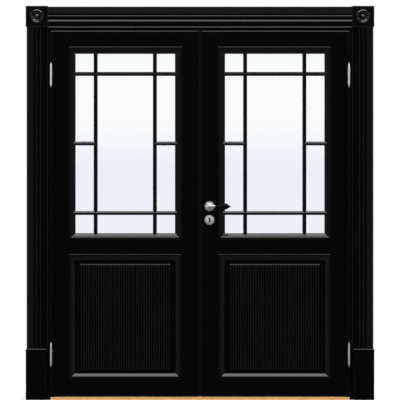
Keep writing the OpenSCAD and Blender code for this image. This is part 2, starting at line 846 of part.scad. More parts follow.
// Plan of the meeting stile, with a quirked bead on both arrises of its edge
module meeting_section() {
    r = edge_bead_d / 2;
    difference() {
        translate([leaf_x0, y_leaf]) square([meeting_stile_w, leaf_t]);
        for (y = [y_leaf - eps, y_leaf_back - r])
            translate([leaf_x0 - eps, y]) square([edge_bead_d + edge_quirk_w + eps, r + eps]);
    }
    for (y = [y_leaf + r, y_leaf_back - r])
        translate([leaf_x0 + r, y]) circle(r);
}

module meeting_stile() {
    difference() {
        union() {
            translate([0, 0, leaf_z0]) linear_extrude(body_z1 - leaf_z0) meeting_section();
            translate([0, 0, leaf_z0])
                linear_extrude(leaf_h)
                    intersection() {
                        meeting_section();
                        translate([leaf_x0, y_leaf]) square([meeting_stile_w, lip_t]);
                    }
        }
        mortises();
        top_lip_round();
    }
}

module top_rail() {
    color(paint) {
        difference() {
            box(open_x, [y_leaf, y_leaf + lip_t], [glass_z[1], leaf_z1]);
            top_lip_round();
        }
        box(open_x, [y_leaf, y_leaf_back], rail_spans[2]);
        tenon_bar(rail_spans[2], 0);
    }
}

module lower_rail(span) {
    color(paint) {
        difference() {
            box(open_x, [y_leaf, y_leaf_back], span);
            panel_groove();
        }
        tenon_bar(span, 0);
    }
}

module glass() {
    color(glass_tint)
        box([open_x[0] + glass_gap, open_x[1] - glass_gap], [y_glass, y_glass + glass_t],
            [glass_z[0] + glass_gap, glass_z[1] - glass_gap]);
}

// A moulding round an opening, with its back on the plane y
module opening_moulding(z, y, w, lap, rise) {
    color(paint)
        translate([(open_x[0] + open_x[1]) / 2, y, (z[0] + z[1]) / 2])
            mitred_ring(open_x[1] - open_x[0] + 2 * lap, z[1] - z[0] + 2 * lap, w, rise + mould_lap_t)
                bolection(w, lap, rise);
}

module glazing_moulding() {
    opening_moulding(glass_z, y_glass, glaze_w, glaze_lap, glaze_rise);
}

module panel_moulding() {
    opening_moulding(panel_z, y_panel, panel_mould_w, panel_mould_lap, panel_rise);
}

// Section of a glazing bar, pitched to a narrow ridge
module bar_section() {
    polygon([[-bar_w / 2, 0], [bar_w / 2, 0], [bar_w / 2, bar_side_h], [bar_ridge_w / 2, bar_h],
             [-bar_ridge_w / 2, bar_h], [-bar_w / 2, bar_side_h]]);
}

// Two uprights, two full cross bars and a short bar in each side column, coped to the moulding
module bar_lattice() {
    bars_x = [sight_x[0] + bar_inset, sight_x[1] - bar_inset];
    bars_z = [sight_z[0] + bar_inset, sight_z[1] - bar_inset];
    reach_x = [sight_x[0] - bar_reach, sight_x[1] + bar_reach];
    reach_z = [sight_z[0] - bar_reach, sight_z[1] + bar_reach];
    color(paint)
        difference() {
            union() {
                for (x = bars_x)
                    translate([x, y_glass, reach_z[0]]) run_z(reach_z[1] - reach_z[0]) bar_section();
                for (z = bars_z)
                    translate([reach_x[0], y_glass, z]) run_x(reach_x[1] - reach_x[0]) bar_section();
                for (span = [[reach_x[0], bars_x[0]], [bars_x[1], reach_x[1]]])
                    translate([span[0], y_glass, (sight_z[0] + sight_z[1]) / 2])
                        run_x(span[1] - span[0]) bar_section();
            }
            glazing_moulding();
        }
}

module glazing_bars() {
    bar_lattice();
    at_back() bar_lattice();
}

// Plan of the raised field on the front of the panel, with its reeds
module field_section() {
    foot = y_panel - field_base_h;
    translate([field_x0, foot]) square([field_w, field_base_h + eps]);
    intersection() {
        translate([field_x0, foot - reed_h]) square([field_w, reed_h + field_base_h + eps]);
        for (i = [0:reed_count - 1])
            translate([field_x0 + (i + 0.5) * reed_pitch, foot - reed_h + reed_r]) circle(reed_r);
    }
}

// The field with its reeds sloped off at both ends
module raised_field() {
    foot = y_panel - field_base_h;
    inside = y_panel + eps;
    intersection() {
        translate([0, 0, field_z[0]]) linear_extrude(field_z[1] - field_z[0]) field_section();
        translate([field_x0 - eps, 0, 0])
            rotate([90, 0, 90])
                linear_extrude(field_w + 2 * eps)
                    polygon([[inside, field_z[0]], [foot, field_z[0]],
                             [foot - reed_h, field_z[0] + reed_end], [foot - reed_h, field_z[1] - reed_end],
                             [foot, field_z[1]], [inside, field_z[1]]]);
    }
}

module panel() {
    color(paint) {
        box([open_x[0] - tongue, open_x[1] + tongue], [y_panel, y_panel + panel_t],
            [panel_z[0] - tongue, panel_z[1] + tongue]);
        raised_field();
        at_back() raised_field();
    }
}

// Lock and lever on the right leaf

module keyhole(y) {
    translate([lever_x, y[1], key_z])
        rotate([90, 0, 0])
            linear_extrude(y[1] - y[0]) {
                translate([0, keyhole_l / 2]) circle(keyhole_r);
                translate([0, -keyhole_l / 2]) circle(keyhole_foot_r);
                translate([-keyhole_waist / 2, -keyhole_l / 2]) square([keyhole_waist, keyhole_l]);
            }
}

// The space that a bolt slides in, drawn in at rest; fit 0 gives the bolt itself
module bolt(z, h, length, fit) {
    box([leaf_x0 + bolt_fit - fit, leaf_x0 + bolt_fit + length + fit],
        [y_mid - bolt_t / 2 - fit, y_mid + bolt_t / 2 + fit], [z - h / 2 - fit, z + h / 2 + fit]);
}

module lock_blank(fit) {
    box([case_x[0] - eps, case_x[1] + fit], [y_mid - case_t / 2 - fit, y_mid + case_t / 2 + fit],
        [case_z[0] - fit, case_z[1] + fit]);
    box([leaf_x0 - (fit > 0 ? eps : 0), case_x[0]],
        [y_mid - forend_w / 2 - fit, y_mid + forend_w / 2 + fit], [forend_z[0] - fit, forend_z[1] + fit]);
}

module lock_case() {
    color(nickel)
        difference() {
            lock_blank(0);
            bolt(lever_z, latch_h, latch_l, bolt_fit);
            bolt(key_z, dead_h, dead_l, bolt_fit);
            translate([lever_x, 0, lever_z])
                round_y(follower_r + turn_run, [y_mid - case_t, y_mid + case_t]);
            keyhole([y_mid - case_t, y_mid + case_t]);
        }
}

// Room for the lock, its spindle and its key in the wood
module lock_cuts() {
    lock_blank(case_fit);
    translate([lever_x, 0, lever_z])
        round_y(follower_r + spindle_room, [y_leaf - eps, y_leaf_back + eps]);
    keyhole([y_leaf - eps, y_leaf_back + eps]);
}

module right_meeting_stile() {
    color(paint)
        difference() {
            meeting_stile();
            lock_cuts();
        }
}

module right_lock_rail() {
    color(paint)
        difference() {
            lower_rail(rail_spans[1]);
            lock_cuts();
        }
}

module latch_bolt() {
    color(nickel) bolt(lever_z, latch_h, latch_l, 0);
}

module dead_bolt() {
    color(nickel) bolt(key_z, dead_h, dead_l, 0);
}

module square_y(w, y) {
    box([lever_x - w / 2, lever_x + w / 2], y, [lever_z - w / 2, lever_z + w / 2]);
}

module follower() {
    color(nickel)
        difference() {
            translate([lever_x, 0, lever_z])
                round_y(follower_r, [y_mid - case_t / 2, y_mid + case_t / 2]);
            square_y(spindle_w + 2 * spindle_fit, [y_mid - case_t, y_mid + case_t]);
        }
}

module spindle() {
    color(nickel) square_y(spindle_w, [y_leaf - spindle_in, y_leaf_back + spindle_in]);
}

// A turned disc with an upright rim and a domed face, lying on z = 0
module domed_disc(r, t) {
    dome_h = t - rim_t;
    dome_r = (r * r + dome_h * dome_h) / (2 * dome_h);
    rotate_extrude() {
        square([r, rim_t]);
        intersection() {
            translate([0, t - dome_r]) circle(dome_r, $fn = shallow_fn);
            square([r, t]);
        }
    }
}

module rose() {
    color(nickel)
        translate([lever_x, y_leaf, lever_z])
            rotate([90, 0, 0])
                difference() {
                    domed_disc(rose_r, rose_t);
                    translate([0, 0, -eps]) cylinder(r = neck_r + turn_run, h = rose_t + 2 * eps);
                }
}

module escutcheon() {
    color(nickel)
        difference() {
            translate([lever_x, y_leaf, key_z]) rotate([90, 0, 0]) domed_disc(rose_r, escutcheon_t);
            keyhole([y_leaf - escutcheon_t - eps, y_leaf + eps]);
        }
}

// Half section of the arm with its ferrule and the tang that holds the grip
module arm_section() {
    ferrule_r = grip_r + ferrule_proud;
    polygon([[0, 0], [arm_r, 0], [arm_r, grip_start - ferrule_l], [ferrule_r, grip_start - ferrule_l],
             [ferrule_r, grip_start], [tang_r, grip_start],
             [tang_r, grip_start + tang_l], [0, grip_start + tang_l]]);
}

module lever_neck() {
    color(nickel)
        difference() {
            translate([lever_x, 0, lever_z]) {
                round_y(neck_r, [y_leaf - grip_off, y_leaf]);
                translate([0, y_leaf - grip_off, 0]) {
                    rotate([0, 0, 180]) sphere(neck_r + elbow_swell);
                    rotate([0, 90, 0]) rotate_extrude() arm_section();
                }
            }
            square_y(spindle_w + 2 * spindle_fit, [y_leaf - spindle_in - spindle_fit, y_leaf + eps]);
        }
}

// Half section of the turned grip: a shank that swells into a round end with a small pointed tip
module grip_section() {
    join_back = 0.6 * grip_bulb_r;
    join_r = 0.8 * grip_bulb_r;
    join_t = bulb_t - join_back;
    flare = 3;
    steps = 12;
    polygon(concat([[0, 0]],
                   [for (i = [0:steps])
                        [grip_r + (join_r - grip_r) * pow(i / steps, flare), join_t * i / steps]],
                   [[0, join_t]]));
    intersection() {
        translate([0, bulb_t]) circle(grip_bulb_r);
        translate([0, join_t]) square([grip_bulb_r, 2 * grip_bulb_r]);
    }
    polygon([[0, bulb_t], [join_back, bulb_t + join_r],
             [grip_tip_r, grip_l - grip_tip_r], [0, grip_l - grip_tip_r]]);
    translate([0, grip_l - grip_tip_r])
        intersection() {
            circle(grip_tip_r);
            translate([0, -grip_tip_r]) square(2 * grip_tip_r);
        }
}

module lever_grip() {
    color(paint)
        translate([lever_x + grip_start, y_leaf - grip_off, lever_z])
            rotate([0, 90, 0])
                rotate_extrude()
                    difference() {
                        grip_section();
                        translate([-eps, -eps])
                            square([tang_r + spindle_fit + eps, tang_l + spindle_fit + eps]);
                    }
}

// Strike and flush bolts on the left leaf, drawn on the right side and mirrored

module strike_pockets(x) {
    for (b = [[lever_z, latch_h], [key_z, dead_h]])
        box(x, [y_mid - bolt_t / 2 - strike_room, y_mid + bolt_t / 2 + strike_room],
            [b[0] - b[1] / 2 - strike_room, b[0] + b[1] / 2 + strike_room]);
}

module strike_plate() {
    color(nickel)
        difference() {
            box([leaf_x0, leaf_x0 + forend_t], [y_mid - forend_w / 2, y_mid + forend_w / 2], forend_z);
            strike_pockets([leaf_x0 - eps, leaf_x0 + forend_t + eps]);
        }
}

// The slot that a thumb stud slides in, from z over its travel
module stud_slot(z, travel, x) {
    span = [min(z, z + travel) - stud_r - rod_fit, max(z, z + travel) + stud_r + rod_fit];
    box(x, [rod_y - stud_r - rod_fit, rod_y + stud_r + rod_fit], span);
}

// The plate over a thumb stud's slot, without the slot
module bolt_plate_blank(z, travel, x) {
    middle = z + travel / 2;
    box(x, [rod_y - plate_w / 2, rod_y + plate_w / 2], [middle - plate_l / 2, middle + plate_l / 2]);
}

module flush_bolt_plates() {
    color(nickel)
        for (s = [[upper_stud_z, upper_travel], [lower_stud_z, -lower_travel]])
            difference() {
                bolt_plate_blank(s[0], s[1], [leaf_x0, leaf_x0 + plate_t]);
                stud_slot(s[0], s[1], [leaf_x0 - eps, leaf_x0 + plate_t + eps]);
            }
}

module flush_bolt(z, stud_z) {
    color(nickel) {
        translate([rod_x, rod_y, z[0]]) cylinder(r = rod_r, h = z[1] - z[0]);
        translate([leaf_x0 + stud_sunk, rod_y, stud_z])
            rotate([0, 90, 0]) cylinder(r = stud_r, h = rod_in - stud_sunk);
    }
}

module left_meeting_stile() {
    color(paint)
        difference() {
            meeting_stile();
            box([leaf_x0 - eps, leaf_x0 + forend_t], [y_mid - forend_w / 2, y_mid + forend_w / 2],
                forend_z);
            strike_pockets([leaf_x0, leaf_x0 + strike_d]);
            for (s = [[upper_stud_z, upper_travel], [lower_stud_z, -lower_travel]]) {
                bolt_plate_blank(s[0], s[1], [leaf_x0 - eps, leaf_x0 + plate_t]);
                stud_slot(s[0], s[1], [leaf_x0, rod_x]);
            }
            translate([rod_x, rod_y, upper_rod_z[0] - rod_fit])
                cylinder(r = rod_r + rod_fit, h = rod_l + lip_w);
            translate([rod_x, rod_y, leaf_z0 - eps])
                cylinder(r = rod_r + rod_fit, h = rod_sunk + rod_l + rod_fit + eps);
        }
}

module keep(z) {
    color(nickel)
        difference() {
            box([-rod_x - keep_l / 2, -rod_x + keep_l / 2], [rod_y - keep_w / 2, rod_y + keep_w / 2], z);
            translate([-rod_x, rod_y, z[0] - eps])
                cylinder(r = rod_r + strike_room, h = plate_t + 2 * eps);
        }
}

on_left() side_jamb();  // left_jamb
side_jamb();  // right_jamb
head_jamb();
on_left() side_stop();  // left_stop
side_stop();  // right_stop
head_stop();
threshold();
on_left() side_casing();  // left_casing
side_casing();  // right_casing
head_casing();
on_left() corner_block();  // left_corner_block
corner_block();  // right_corner_block
on_left() plinth();  // left_plinth
plinth();  // right_plinth
rebate_seal();
on_left() at_hinges() hinge_frame_half();  // left_hinge_frame_halves
at_hinges() hinge_frame_half();  // right_hinge_frame_halves
union() {  // hinge_pins
    at_hinges() hinge_pin();
    on_left() at_hinges() hinge_pin();
}
keep([rebate_z, rebate_z + plate_t]);  // head_keep
keep([threshold_h - plate_t, threshold_h]);  // threshold_keep

// Nodes of the left leaf
on_left() hinge_stile();  // left_hinge_stile
on_left() left_meeting_stile();
on_left() top_rail();  // left_top_rail
on_left() lower_rail(rail_spans[1]);  // left_lock_rail
on_left() lower_rail(rail_spans[0]);  // left_bottom_rail
on_left() glass();  // left_glass
on_left() glazing_bars();  // left_glazing_bars
on_left() glazing_moulding();  // left_glazing_front
on_left() at_back() glazing_moulding();  // left_glazing_back
on_left() panel();  // left_panel
on_left() panel_moulding();  // left_panel_moulding_front
on_left() at_back() panel_moulding();  // left_panel_moulding_back
on_left() at_hinges() hinge_leaf_half();  // left_hinge_leaf_halves
on_left() strike_plate();
on_left() flush_bolt_plates();
on_left() flush_bolt(upper_rod_z, upper_stud_z);  // upper_flush_bolt
on_left() flush_bolt(lower_rod_z, lower_stud_z);  // lower_flush_bolt

// Nodes of the right leaf
hinge_stile();  // right_hinge_stile
right_meeting_stile();
top_rail();  // right_top_rail
right_lock_rail();
lower_rail(rail_spans[0]);  // right_bottom_rail
glass();  // right_glass
glazing_bars();  // right_glazing_bars
glazing_moulding();  // right_glazing_front
at_back() glazing_moulding();  // right_glazing_back
panel();  // right_panel
panel_moulding();  // right_panel_moulding_front
at_back() panel_moulding();  // right_panel_moulding_back
at_hinges() hinge_leaf_half();  // right_hinge_leaf_halves
lock_case();
follower();
spindle();
latch_bolt();
dead_bolt();
union() {  // roses
    rose();
    at_back() rose();
}
union() {  // escutcheons
    escutcheon();
    at_back() escutcheon();
}
union() {  // lever_necks
    lever_neck();
    at_back() lever_neck();
}
union() {  // lever_grips
    lever_grip();
    at_back() lever_grip();
}
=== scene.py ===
import json
import math

import bmesh
import bpy
from mathutils import Matrix, Vector


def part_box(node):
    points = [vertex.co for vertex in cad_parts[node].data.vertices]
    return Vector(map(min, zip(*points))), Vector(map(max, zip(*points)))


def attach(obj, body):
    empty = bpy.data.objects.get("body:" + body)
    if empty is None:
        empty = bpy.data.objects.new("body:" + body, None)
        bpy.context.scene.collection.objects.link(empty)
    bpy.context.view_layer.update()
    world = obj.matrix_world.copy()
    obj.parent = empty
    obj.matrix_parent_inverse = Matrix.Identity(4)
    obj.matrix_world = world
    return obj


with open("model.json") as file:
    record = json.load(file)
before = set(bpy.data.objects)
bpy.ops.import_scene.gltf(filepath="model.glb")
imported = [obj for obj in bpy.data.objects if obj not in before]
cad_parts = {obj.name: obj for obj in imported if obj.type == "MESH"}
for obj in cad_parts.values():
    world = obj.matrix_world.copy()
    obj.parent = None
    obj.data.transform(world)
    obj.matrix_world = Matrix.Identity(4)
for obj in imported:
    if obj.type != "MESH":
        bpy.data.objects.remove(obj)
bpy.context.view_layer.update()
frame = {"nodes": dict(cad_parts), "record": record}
nodes = frame["nodes"]
print("door set loaded:", len(nodes), "nodes")


def middleOf(nodeName):
    low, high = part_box(nodeName)
    return (low + high) / 2


# camera, square to the front of the leaves

cameraSet = {
    "frontY": -0.055,  # face of the leaves
    "distance": 26.0,  # far off with a long lens, so that the door stays flat
    "clip": 104.0,  # nothing is drawn farther off than this
    "pixel": 0.00557,  # metres on that face for one pixel
    "frame": 400,  # pixels along a side of the picture
    "floorRow": 400.0,  # row of the picture where the floor line is
    "sensor": 36.0,
}


def makeCamera():
    s = cameraSet
    data = bpy.data.cameras.new("camera")
    data.sensor_width = s["sensor"]
    data.lens = s["sensor"] * s["distance"] / (s["frame"] * s["pixel"])
    data.clip_end = s["clip"]
    cam = bpy.data.objects.new("camera", data)
    height = (s["floorRow"] - s["frame"] / 2) * s["pixel"]
    cam.location = (0, s["frontY"] - s["distance"], height)
    cam.rotation_euler = (math.pi / 2, 0, 0)
    bpy.context.scene.collection.objects.link(cam)
    bpy.context.scene.camera = cam


makeCamera()
print("camera placed")


# node helpers

def node(tree, kind, **values):
    made = tree.nodes.new(kind)
    for name, value in values.items():
        setattr(made, name, value)
    return made


# a socket gets a link from another node or a plain value; colours are written without alpha
def fill(tree, made, sources):
    for label, source in sources.items():
        socket = made.inputs[label]
        if isinstance(source, bpy.types.NodeSocket):
            tree.links.new(source, socket)
        elif socket.type == "RGBA":
            socket.default_value = (*source, 1)
        else:
            socket.default_value = source


def objectCoords(tree, scale):
    coords = node(tree, "ShaderNodeTexCoord")
    mapping = node(tree, "ShaderNodeMapping")
    fill(tree, mapping, {"Vector": coords.outputs["Object"], "Scale": scale})
    return mapping.outputs["Vector"]


def coordAxis(tree, kind, axis):
    coords = node(tree, "ShaderNodeTexCoord")
    parts = node(tree, "ShaderNodeSeparateXYZ")
    fill(tree, parts, {"Vector": coords.outputs[kind]})
    return parts.outputs[axis]


def calculate(tree, operation, value, other=0.0):
    made = node(tree, "ShaderNodeMath", operation=operation)
    fill(tree, made, {0: value, 1: other})
    return made.outputs[0]


def remap(tree, value, low, high, start=0.0, end=1.0):
    made = node(tree, "ShaderNodeMapRange")
    fill(tree, made, {"Value": value, "From Min": start, "From Max": end, "To Min": low, "To Max": high})
    return made.outputs["Result"]


def mix(tree, factor, a, b, kind="RGBA"):
    made = node(tree, "ShaderNodeMix", data_type=kind)
    fill(tree, made, {"Factor": factor, "A": a, "B": b})
    return made.outputs["Result"]


def colourRamp(tree, value, stops):
    made = node(tree, "ShaderNodeValToRGB")
    elements = made.color_ramp.elements
    while len(elements) < len(stops):
        elements.new(1.0)
    for element, (position, colour) in zip(elements, stops):
        element.position = position
        element.color = (*colour, 1)
    fill(tree, made, {"Fac": value})
    return made.outputs["Color"]


def levelRamp(tree, value, stops):
    return colourRamp(tree, value, [(position, (level,) * 3) for position, level in stops])


def bump(tree, height, strength, distance):
    made = node(tree, "ShaderNodeBump")
    fill(tree, made, {"Height": height, "Strength": strength, "Distance": distance})
    return made.outputs["Normal"]


def newMaterial(name):
    mat = bpy.data.materials.new(name)
    mat.use_nodes = True
    return mat, mat.node_tree


def shaderOf(mat):
    return mat.node_tree.nodes["Principled BSDF"]


def setShader(mat, sources):
    fill(mat.node_tree, shaderOf(mat), sources)


# lays another colour or value over what a socket of the shader already gets
def layOver(mat, label, share, value):
    socket = shaderOf(mat).inputs[label]
    below = socket.links[0].from_socket
    kind = "RGBA" if socket.type == "RGBA" else "FLOAT"
    setShader(mat, {label: mix(mat.node_tree, share, below, value, kind)})


def newGroup(name, inputs, outputs):
    tree = bpy.data.node_groups.new(name, "ShaderNodeTree")
    for way, sockets in (("INPUT", inputs), ("OUTPUT", outputs)):
        for label, kind in sockets.items():
            tree.interface.new_socket(label, in_out=way, socket_type=kind)
    return tree, node(tree, "NodeGroupInput"), node(tree, "NodeGroupOutput")


def placeGroup(tree, group, vector, **values):
    made = node(tree, "ShaderNodeGroup", node_tree=group)
    fill(tree, made, {"Vector": vector, **values})
    return made


# each output with the input for its scale, and its detail
marksSet = {
    "Mottle": ("Coarse", 3.0),
    "Marks": ("Fine", 5.0),
}


# slow mottling and fine marks, shared by every finish but the glass
def makeMarksGroup():
    number = "NodeSocketFloat"
    inputs = {"Vector": "NodeSocketVector", "Coarse": number, "Fine": number}
    tree, into, out = newGroup("surfaceMarks", inputs, {"Mottle": number, "Marks": number})
    given = into.outputs
    for outName, (scaleName, detail) in marksSet.items():
        noise = node(tree, "ShaderNodeTexNoise")
        fill(tree, noise, {"Vector": given["Vector"], "Scale": given[scaleName], "Detail": detail})
        fill(tree, out, {outName: noise.outputs["Fac"]})
    return tree


marks = makeMarksGroup()


# materials

# colour and roughness from the mottling and a relief from the marks
# a set's coarse and fine are the scales of those two, and bump is strength and height
def makeFinish(name, s):
    mat, tree = newMaterial(name)
    made = placeGroup(tree, marks, objectCoords(tree, s["scale"]), Coarse=s["coarse"], Fine=s["fine"])
    mottle = made.outputs["Mottle"]
    setShader(mat, {
        "Base Color": mix(tree, mottle, s["dark"], s["light"]),
        "Roughness": remap(tree, mottle, *s["rough"]),
        "Metallic": s["metallic"],
        "Specular IOR Level": s["specular"],
        "Normal": bump(tree, made.outputs["Marks"], *s["bump"]),
    })
    return mat


paintSet = {
    "dark": (0.0011, 0.0011, 0.0012),
    "light": (0.0024, 0.0024, 0.0026),
    "rough": (0.12, 0.17),
    "metallic": 0.0,
    "specular": 0.35,
    "turnedSpecular": 0.85,  # the turned rosettes are the glossiest
    "across": 90.0,  # brush marks are this close across the grain
    "along": 3.0,
    "coarse": 0.25,
    "fine": 2.0,
    "bump": (0.05, 0.0004),
}


# brushed satin paint, with the brush marks along one axis of the piece
def makePaint(name, axis, specular=paintSet["specular"]):
    scale = [paintSet["across"]] * 3
    scale["XYZ".index(axis)] = paintSet["along"]
    return makeFinish(name, {**paintSet, "scale": scale, "specular": specular})


reedSet = {
    "specular": 0.22,
    # painted highlight: the lighter colour along the crests of the reeds
    "crestHighlight": (0.0062, 0.0062, 0.0065),
    "deep": 0.0008,  # how far the painted highlight band reaches down from the crest of a reed
    "full": 0.0002,  # from the crest down to here the painted highlight is full
}


# the same paint on the reeded panels, with a painted highlight along the crests of the reeds, lighter
# where light catches them
def makeReededPaint():
    s = reedSet
    mat = makePaint("blackPaintReeded", "Z", s["specular"])
    tree = mat.node_tree
    middle = middleOf("left_panel").y
    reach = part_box("left_panel")[1].y - middle
    depth = calculate(tree, "SUBTRACT", coordAxis(tree, "Object", "Y"), middle)
    height = calculate(tree, "ABSOLUTE", depth)
    paintedCrestHighlight = remap(tree, height, 0.0, 1.0, reach - s["deep"], reach - s["full"])
    # painted highlight: lighter base colour along the reed crests
    layOver(mat, "Base Color", paintedCrestHighlight, s["crestHighlight"])
    return mat


oakSet = {
    "pale": (0.97, 0.55, 0.18),
    "deep": (0.84, 0.42, 0.115),
    "pore": (0.56, 0.25, 0.07),
    "rough": (0.30, 0.48),
    "coat": 0.25,
    "coatRough": 0.2,
    "figureScale": (2.2, 40.0, 60.0),
    "figure": {"Scale": 0.7, "Distortion": 6.0, "Detail": 3.0},
    "poreScale": (14.0, 420.0, 420.0),
    "coarse": 0.2,
    "fine": 1.0,
    "poreStops": ((0.28, 0.0), (0.42, 1.0)),  # a pore where the marks are low
    "bump": (0.15, 0.0004),
}


# varnished oak with its grain along X
def makeOak():
    s = oakSet
    mat, tree = newMaterial("oakVarnished")
    wave = node(tree, "ShaderNodeTexWave", wave_type="BANDS", bands_direction="Z")
    fill(tree, wave, {"Vector": objectCoords(tree, s["figureScale"]), **s["figure"]})
    grain = mix(tree, wave.outputs["Fac"], s["pale"], s["deep"])
    pores = placeGroup(tree, marks, objectCoords(tree, s["poreScale"]), Coarse=s["coarse"], Fine=s["fine"])
    between = levelRamp(tree, pores.outputs["Marks"], s["poreStops"])
    setShader(mat, {
        "Base Color": mix(tree, between, s["pore"], grain),
        "Roughness": remap(tree, pores.outputs["Mottle"], *s["rough"]),
        "Coat Weight": s["coat"],
        "Coat Roughness": s["coatRough"],
        "Normal": bump(tree, pores.outputs["Marks"], *s["bump"]),
    })
    return mat


metalShared = {"metallic": 1.0, "specular": 0.5, "coarse": 0.3, "fine": 2.0}
metalSets = {
    "satinNickel": {"dark": (0.62, 0.62, 0.61), "light": (0.72, 0.72, 0.71), "rough": (0.66, 0.80),
                    "scale": (300, 300, 300), "bump": (0.05, 0.0002)},
    "plateNickel": {"dark": (0.84, 0.84, 0.83), "light": (0.94, 0.94, 0.93), "rough": (0.66, 0.80),
                    "scale": (300, 300, 300), "bump": (0.05, 0.0002)},
    "brightZinc": {"dark": (0.80, 0.81, 0.82), "light": (0.92, 0.92, 0.92), "rough": (0.62, 0.74),
                   "scale": (240, 240, 60), "bump": (0.06, 0.0002)},
    "lockSteel": {"dark": (0.40, 0.40, 0.40), "light": (0.56, 0.56, 0.55), "rough": (0.34, 0.48),
                  "scale": (500, 500, 12), "bump": (0.12, 0.0002)},
    # black steel of the grub screws, and painted shade on the lock levers seen through the keyhole
    "blackSteelAndKeyholeShade": {"dark": (0.010, 0.010, 0.011), "light": (0.025, 0.024, 0.023), "rough": (0.45, 0.6),
                   "scale": (500, 500, 500), "bump": (0.08, 0.0002)},
}


def makeMetal(name):
    return makeFinish(name, {**metalShared, **metalSets[name]})


plateSet = {
    # colours of the painted shade at the rim of each plate, where the dome turns away from the light
    "rimShades": {"roses": (0.26, 0.26, 0.255), "escutcheons": (0.45, 0.45, 0.44)},
    "shadeStart": 0.55,  # shares of the radius where the painted shade towards the rim begins, and where it is full
    "shadeFull": 1.0,
    # colour of the painted shade along the keyhole, where the hole looks dark
    "edge": (0.012, 0.012, 0.012),
    "keyholeLength": 0.019,  # between the rounds of the keyhole
    "edgeReach": 0.0042,  # painted shade from the middle of the keyhole to here
    "edgeFade": 0.0006,
}


# distance on the face of a plate from its middle, or from an upright line through it that has a length
def plateDistance(tree, middle, length=0.0):
    across = calculate(tree, "SUBTRACT", coordAxis(tree, "Object", "X"), middle.x)
    upright = calculate(tree, "SUBTRACT", coordAxis(tree, "Object", "Z"), middle.z)
    beyond = calculate(tree, "SUBTRACT", calculate(tree, "ABSOLUTE", upright), length / 2)
    flat = node(tree, "ShaderNodeCombineXYZ")
    fill(tree, flat, {"X": across, "Z": calculate(tree, "MAXIMUM", beyond)})
    distance = node(tree, "ShaderNodeVectorMath", operation="LENGTH")
    fill(tree, distance, {0: flat.outputs["Vector"]})
    return distance.outputs["Value"]


# nickel of the roses and escutcheons: painted shade darkening it towards the rim, and painted shade along
# a keyhole
def makePlateMetal(nodeName):
    s = plateSet
    mat = makeMetal("plateNickel")
    tree = mat.node_tree
    middle = middleOf(nodeName)
    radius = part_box(nodeName)[1].x - middle.x
    fromMiddle = plateDistance(tree, middle)
    paintedRimShade = remap(tree, fromMiddle, 0.0, 1.0, s["shadeStart"] * radius, s["shadeFull"] * radius)
    # painted shade: the plate darker towards its rim
    layOver(mat, "Base Color", paintedRimShade, s["rimShades"][nodeName])
    if nodeName == "escutcheons":
        fromKeyhole = plateDistance(tree, middle, s["keyholeLength"])
        reach = s["edgeReach"]
        paintedKeyholeShade = remap(tree, fromKeyhole, 1.0, 0.0, reach, reach + s["edgeFade"])
        # painted shade: a black band round the keyhole
        layOver(mat, "Base Color", paintedKeyholeShade, s["edge"])
    return mat


flagSet = {
    "from": 0.8353,  # distance from the middle of the door where the flags of the hinges begin
    "colour": (0.0016, 0.0016, 0.0018),
    "rough": 0.2,
}


# the flags of the hinges are painted over with the frame
def makeHingeMetal():
    s = flagSet
    mat = makeMetal("brightZinc")
    tree = mat.node_tree
    away = calculate(tree, "ABSOLUTE", coordAxis(tree, "Object", "X"))
    painted = calculate(tree, "GREATER_THAN", away, s["from"])
    layOver(mat, "Base Color", painted, s["colour"])
    layOver(mat, "Roughness", painted, s["rough"])
    setShader(mat, {"Metallic": remap(tree, painted, 1.0, 0.0)})
    return mat


# matt black with a faint wood figure along it
gripSet = {
    "dark": (0.0015, 0.0015, 0.0016),
    "light": (0.004, 0.0038, 0.0036),
    "rough": (0.42, 0.55),
    "metallic": 0.0,
    "specular": 0.05,
    "scale": (40, 400, 400),
    "coarse": 0.3,
    "fine": 1.5,
    "bump": (0.03, 0.0002),
}
rubberSet = {
    "dark": (0.003, 0.003, 0.003),
    "light": (0.007, 0.007, 0.007),
    "rough": (0.6, 0.85),
    "metallic": 0.0,
    "specular": 0.1,
    "scale": (200, 200, 200),
    "coarse": 0.4,
    "fine": 3.0,
    "bump": (0.2, 0.0003),
}
glassSet = {
    "ior": 1.46,
    "from": 1.10,  # height of the lowest stop, and of the highest
    "to": 1.96,
    # painted shade and reflection: the glass colour is bluer and darker lower down, and a little darker at
    # the top
    "stops": ((0.0, (0.860, 0.910, 0.970)), (0.18, (0.840, 0.895, 0.970)), (0.30, (0.885, 0.925, 0.985)),
              (0.48, (0.975, 0.985, 1.0)), (0.55, (1.0, 1.0, 1.0)), (0.80, (1.0, 1.0, 1.0)),
              (1.0, (0.945, 0.970, 0.985))),
}


def makeGlass():
    s = glassSet
    mat, tree = newMaterial("clearGlass")
    height = remap(tree, coordAxis(tree, "Object", "Z"), 0.0, 1.0, s["from"], s["to"])
    setShader(mat, {
        # painted shade and reflection: the colour of the glass set by height
        "Base Color": colourRamp(tree, height, s["stops"]),
        "Roughness": 0.0,
        "IOR": s["ior"],
        "Transmission Weight": 1.0,
    })
    return mat


paintUpright = makePaint("blackPaintUpright", "Z")
paintLevel = makePaint("blackPaintLevel", "X")
paintReeded = makeReededPaint()
paintTurned = makePaint("blackPaintTurned", "Z", paintSet["turnedSpecular"])
slotMaterials = {
    "oak": makeOak(),
    "clear_glass": makeGlass(),
    "satin_nickel": makeMetal("satinNickel"),
    "bright_zinc": makeHingeMetal(),
    "lock_steel": makeMetal("lockSteel"),
    "black_grip": makeFinish("blackGrip", gripSet),
    "seal_rubber": makeFinish("sealRubber", rubberSet),
}
